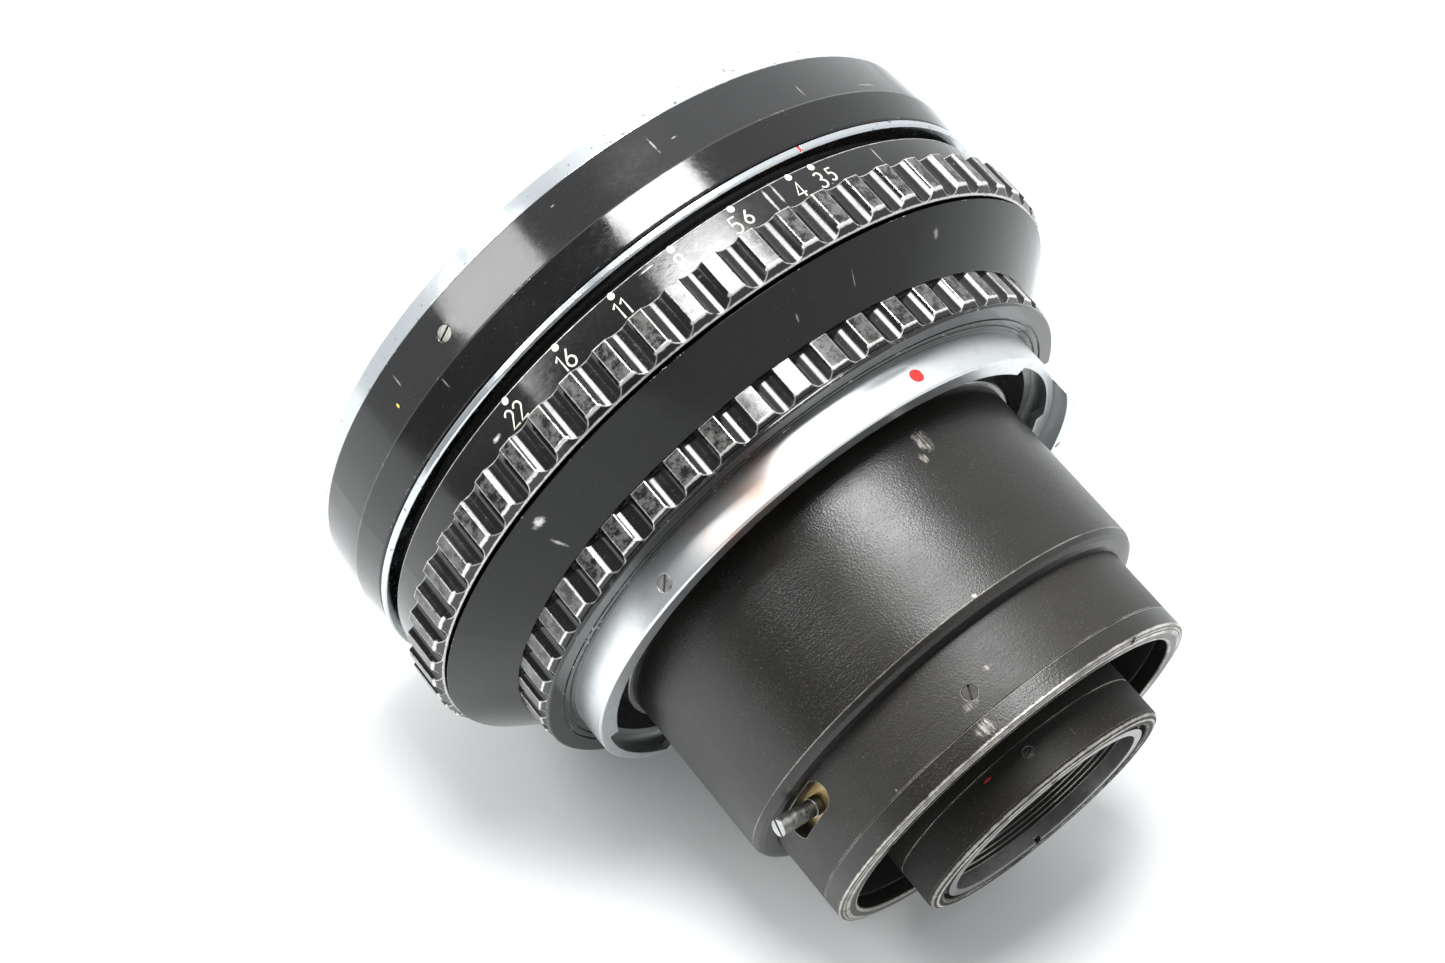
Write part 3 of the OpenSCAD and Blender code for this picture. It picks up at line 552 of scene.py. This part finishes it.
spot("paint_speck", 21.6, -29.1, 44.33, 0.28, "barrel", yellow, 0.6)
spot("cell_mark", 45.6, 37.8, 16.39, 0.20, "barrel", dark_red, 3.2)

# ---------------------------------------------------------------- floor
# the lens lies on its aperture ring and its rear end, so the floor's normal isn't the Z axis
UP = Vector((0.0, -0.392, 0.920)).normalized()
DROP = -37.2 * MM         # from the origin to the floor, along UP
FLOOR_R = 0.46
FLOOR_SHIFT = Vector((0.670, 0.683, 0.291)) * 0.26   # the paper goes back further than forward
side = Vector((1.0, 0.0, 0.0))
ahead = UP.cross(side)


def floor_piece():
    """White paper, seen from above only."""
    centre = UP * DROP - FLOOR_SHIFT
    verts = [centre]
    rings, around = 6, 64
    for i in range(1, rings + 1):
        for j in range(around):
            t = 2 * math.pi * j / around
            rr = FLOOR_R * i / rings
            verts.append(centre + side * rr * math.cos(t) + ahead * rr * math.sin(t))
    mesh = bpy.data.meshes.new("floor")
    mesh.from_pydata(verts, [], disc_faces(rings, around))
    obj = add_object("floor", mesh)
    k = Mat("paper")
    k.feed("Base Color", k.mix(k.noise(9, 3, 0.5), (0.64, 0.655, 0.66), (0.66, 0.67, 0.67)))
    k.set(Roughness=0.95, Specular_IOR_Level=0.1, Emission_Strength=0.12,
          Emission_Color=(0.95, 0.99, 1.0, 1.0))
    geo = k.n("ShaderNodeNewGeometry")
    clear = k.n("ShaderNodeBsdfTransparent")
    blend = k.n("ShaderNodeMixShader")
    k.link(geo.outputs["Backfacing"], blend.inputs[0])
    k.link(k.b.outputs[0], blend.inputs[1])
    k.link(clear.outputs[0], blend.inputs[2])
    k.link(blend.outputs[0], k.out.inputs[0])
    mesh.materials.append(k.m)
    return obj


floor_piece()


# ---------------------------------------------------------------- light
SOFTBOX_FAR = 0.60
SOFTBOX_SIZE = (0.28, 0.20)


def place(obj, x, y, z, at):
    """Stands an object at a point with its own axes along x, y and z."""
    m = Matrix((x, y, z)).transposed().to_4x4()
    m.translation = at
    obj.matrix_world = m


def softbox(name, towards, power, roll=(1, 0, 0)):
    """A rectangular light that faces the origin, its long side along roll."""
    light = bpy.data.lights.new(name, "AREA")
    light.shape = "RECTANGLE"
    light.size, light.size_y = SOFTBOX_SIZE
    light.energy = power
    z = Vector(towards).normalized()
    x = Vector(roll)
    x = (x - z * x.dot(z)).normalized()
    place(add_object(name, light), x, z.cross(x), z, z * SOFTBOX_FAR)


softbox("softbox_top", (0.12, -0.262, 0.955), 4.5)
softbox("softbox_side", (0.74, -0.64, 0.46), 1.8, roll=(-0.6, -0.2, 0.7))

world = bpy.data.worlds.new("studio")
bpy.context.scene.world = world
sky = Nodes(world)
sky_at = sky.n("ShaderNodeTexCoord").outputs["Generated"]


def glow(direction, start, full, low_value=0.0, high_value=1.0):
    """A factor that changes smoothly along a direction of the sky."""
    return sky.ramp(sky.dot(sky_at, direction), start, full, low_value, high_value)


# bright low down and away from near, dimmer above, with soft brightness left and in front
low = glow(tuple(UP), 0.18, 0.42, 1.0, 0.0)
near = glow((0.86, 0.51, 0.0), -0.1, 0.45, 1.0, 0.0)
left = glow((-1.0, 0.0, 0.0), -0.30, 0.05, 0.0, 0.75)
front = glow((0.0, -1.0, 0.0), 0.36, 0.50, 0.0, 0.72)
upper = sky.plus(0.28, sky.plus(left, front))
level = sky.larger(sky.times(sky.times(low, near), 0.97), upper)
background = sky.n("ShaderNodeBackground")
sky.link(sky.mix(1.0, level, (0.97, 0.99, 1.0), "MULTIPLY"), background.inputs[0])
sky.link(background.outputs[0], sky.n("ShaderNodeOutputWorld").inputs[0])

# ---------------------------------------------------------------- camera
camera = bpy.data.cameras.new("camera")
camera.lens = 58.34
camera.sensor_width = 36.0
camera.clip_start = 0.01
eye = add_object("camera", camera)
cam_right = Vector((-0.7438, 0.6138, 0.2645)).normalized()
cam_back = Vector((0.5466, 0.3307, 0.7693)).normalized()
cam_up = cam_back.cross(cam_right).normalized()
place(eye, cam_up.cross(cam_back), cam_up, cam_back, Vector((153.9, 79.4, 210.9)) * MM)
bpy.context.scene.camera = eye
bpy.context.scene.view_settings.view_transform = "Standard"
